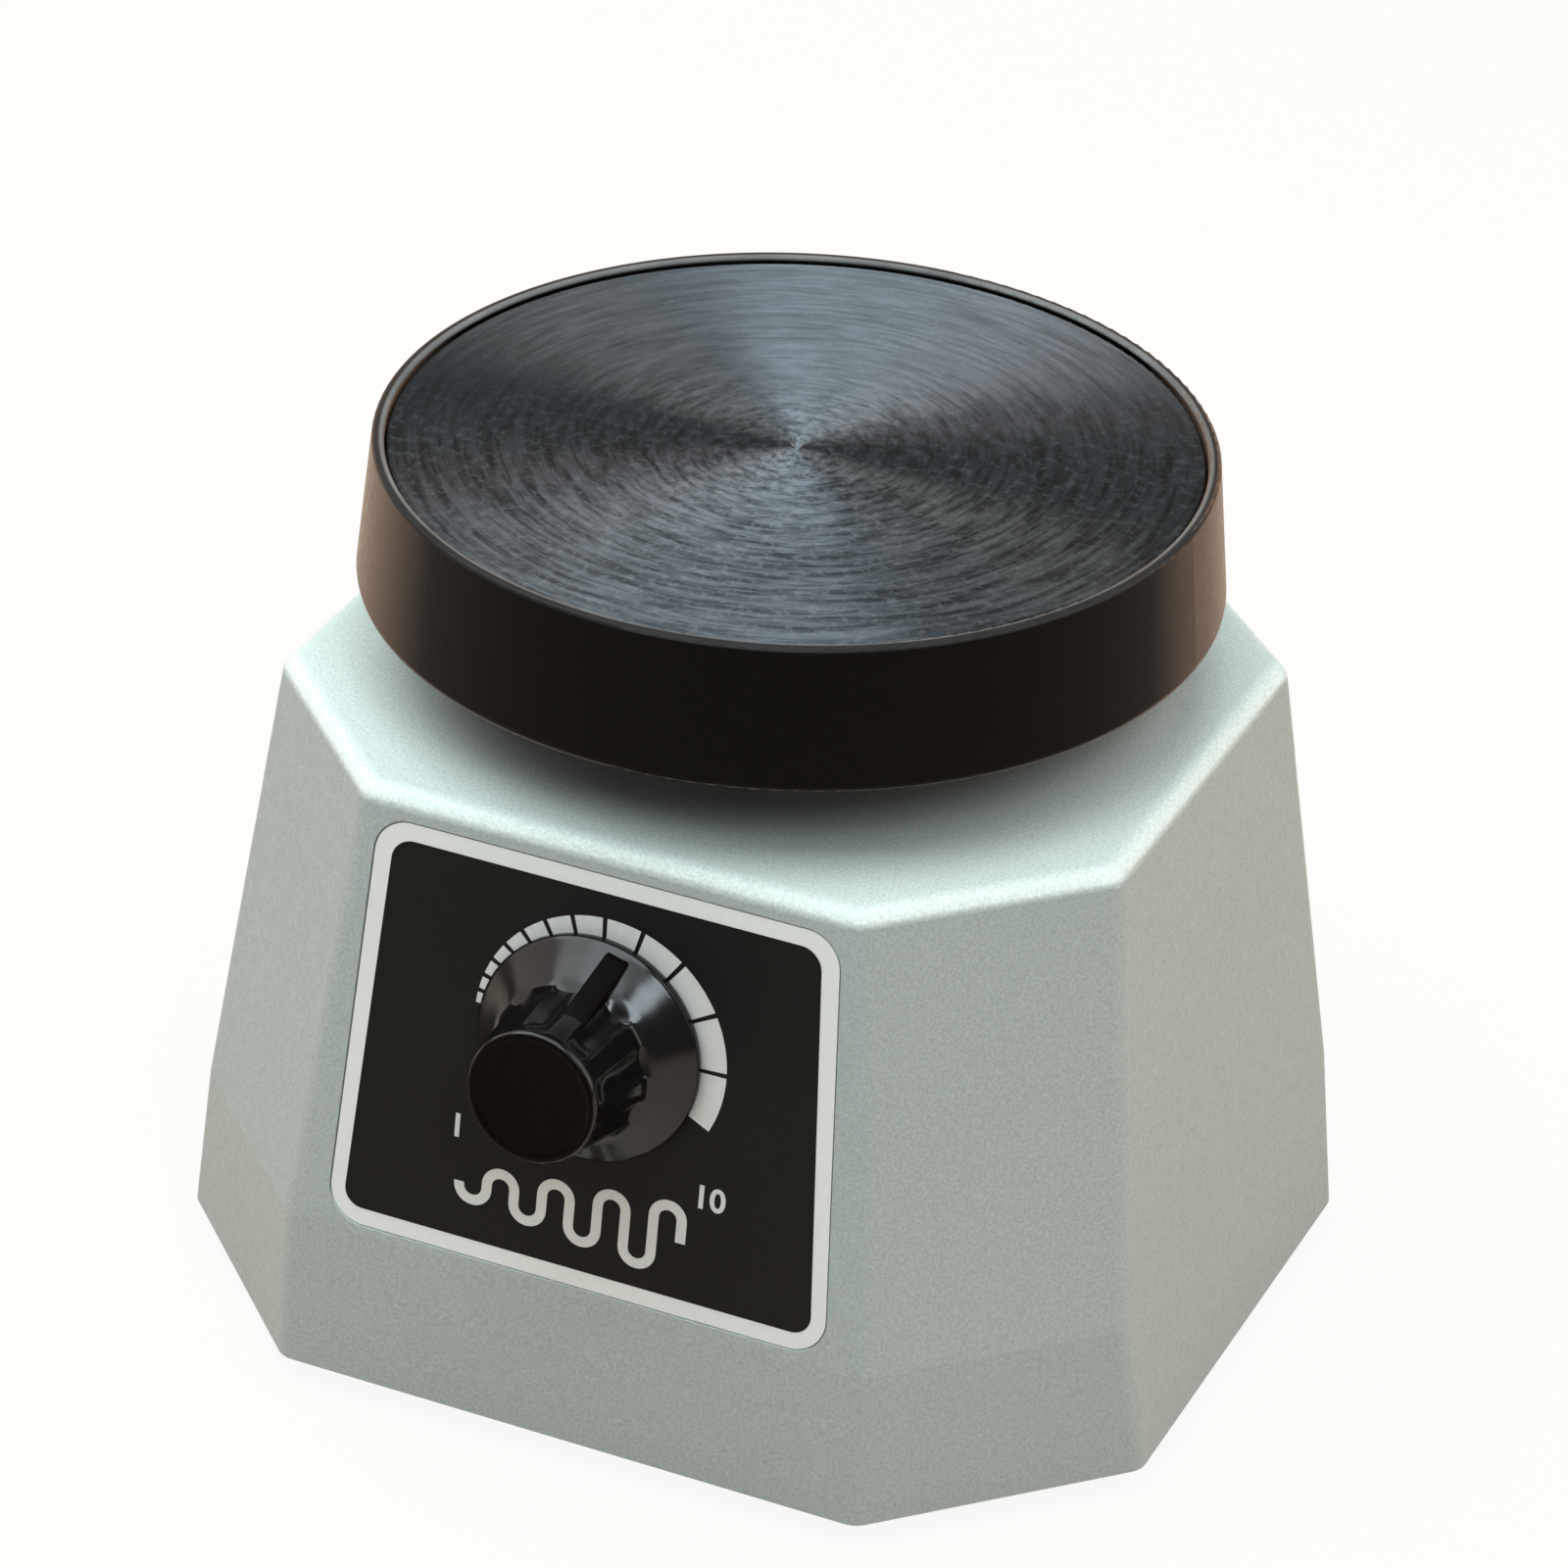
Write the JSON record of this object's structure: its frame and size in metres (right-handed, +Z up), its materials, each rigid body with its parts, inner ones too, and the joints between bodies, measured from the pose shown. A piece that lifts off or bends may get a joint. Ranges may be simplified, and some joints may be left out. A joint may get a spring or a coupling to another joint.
{
  "type": "dental plaster vibrating table",
  "caption": "Small bench vibrator for dental plaster: a round sprung plate on a tapered housing, shaken by an electromagnet, with a speed knob on its sloping front.",
  "frame": {"origin": "middle of the footprint, at the height of the bench under the feet", "axes": "+Z up; the control face with the knob looks along -Y; the cable gland leaves along +Y"},
  "size_m": [0.128, 0.1426, 0.1109],
  "materials": {
    "housing_paint": "fine hammertone paint",
    "zinc_plate": "zinc plated sheet",
    "foot_rubber": "matt",
    "screw_steel": "zinc plated",
    "label_print": "black print with pale border",
    "pot_steel": "satin",
    "terminal_tin": "tinned",
    "wiper_resin": "moulded",
    "knob_black": "glossy",
    "insert_brass": "turned",
    "set_screw_steel": "blackened",
    "plate_black": "turned and black anodised",
    "rim_black": "satin",
    "stem_steel": "turned",
    "spring_plate_steel": "rolled",
    "armature_iron": "laminated",
    "cup_nylon": "moulded",
    "pillar_steel": "turned",
    "spring_steel": "wound wire",
    "core_iron": "laminated",
    "bobbin_nylon": "moulded",
    "winding_tape": "enamelled copper wire",
    "boot_rubber": "matt",
    "board_laminate": "coated",
    "standoff_nylon": "moulded",
    "triac_epoxy": "moulded",
    "sink_aluminium": "black anodised",
    "capacitor_box": "moulded",
    "resistor_body": "lacquered",
    "block_green": "moulded",
    "lead_pvc": "sleeved wire",
    "gland_nylon": "moulded",
    "gland_rubber": "matt",
    "earth_brass": "bare"
  },
  "bodies": {
    "base": {"housing": "housing_paint", "base_plate": "zinc_plate", "base_plate_screws": "screw_steel", "foot_rear_right": "foot_rubber", "foot_rear_left": "foot_rubber", "foot_front_left": "foot_rubber", "foot_front_right": "foot_rubber", "foot_screws": "screw_steel", "foot_nuts": "screw_steel", "control_label": "label_print", "pot_body": "pot_steel", "pot_terminals": "terminal_tin", "pot_washer": "pot_steel", "pot_nut": "pot_steel", "lower_spring_cups": "cup_nylon", "spring_pillars": "pillar_steel", "pillar_screws": "screw_steel", "spring_rear_right": "spring_steel", "spring_rear_left": "spring_steel", "spring_front_left": "spring_steel", "spring_front_right": "spring_steel", "magnet_core": "core_iron", "core_brackets": "zinc_plate", "core_bolts": "screw_steel", "core_nuts": "screw_steel", "bracket_screws": "screw_steel", "coil_bobbin": "bobbin_nylon", "coil_winding": "winding_tape", "dust_boot": "boot_rubber", "circuit_board": "board_laminate", "board_standoffs": "standoff_nylon", "triac": "triac_epoxy", "heat_sink": "sink_aluminium", "suppressor_capacitor": "capacitor_box", "resistors": "resistor_body", "terminal_block": "block_green", "coil_leads": "lead_pvc", "pot_leads": "lead_pvc", "gland_body": "gland_nylon", "gland_seal": "gland_rubber", "gland_dome_nut": "gland_nylon", "gland_lock_nut": "gland_nylon", "earth_stud": "screw_steel", "earth_nut": "earth_brass"},
    "table": {"table_plate": "plate_black", "table_rim": "rim_black", "rim_screws": "screw_steel", "table_stem": "stem_steel", "plate_screws": "screw_steel", "stem_screws": "screw_steel", "spring_plate": "spring_plate_steel", "armature": "armature_iron", "armature_screws": "screw_steel", "upper_spring_cups": "cup_nylon"},
    "control_knob": {"knob": "knob_black", "knob_insert": "insert_brass", "knob_set_screw": "set_screw_steel", "pot_shaft": "pot_steel", "pot_wiper": "wiper_resin"}
  },
  "joints": [
    {"name": "table_vibration", "type": "slide", "parent": "base", "child": "table", "axis": [0, 0, 1], "range_m": [-0.0008, 0.0008], "stiffness_N_per_m": 50000, "deforming": ["spring_rear_right", "spring_rear_left", "spring_front_left", "spring_front_right", "dust_boot"]},
    {"name": "knob_turn", "type": "hinge", "parent": "base", "child": "control_knob", "pos_m": [0, -0.05324, 0.05626], "axis": [0, 0.9917, -0.1287], "range_deg": [-173, 107]}
  ]
}
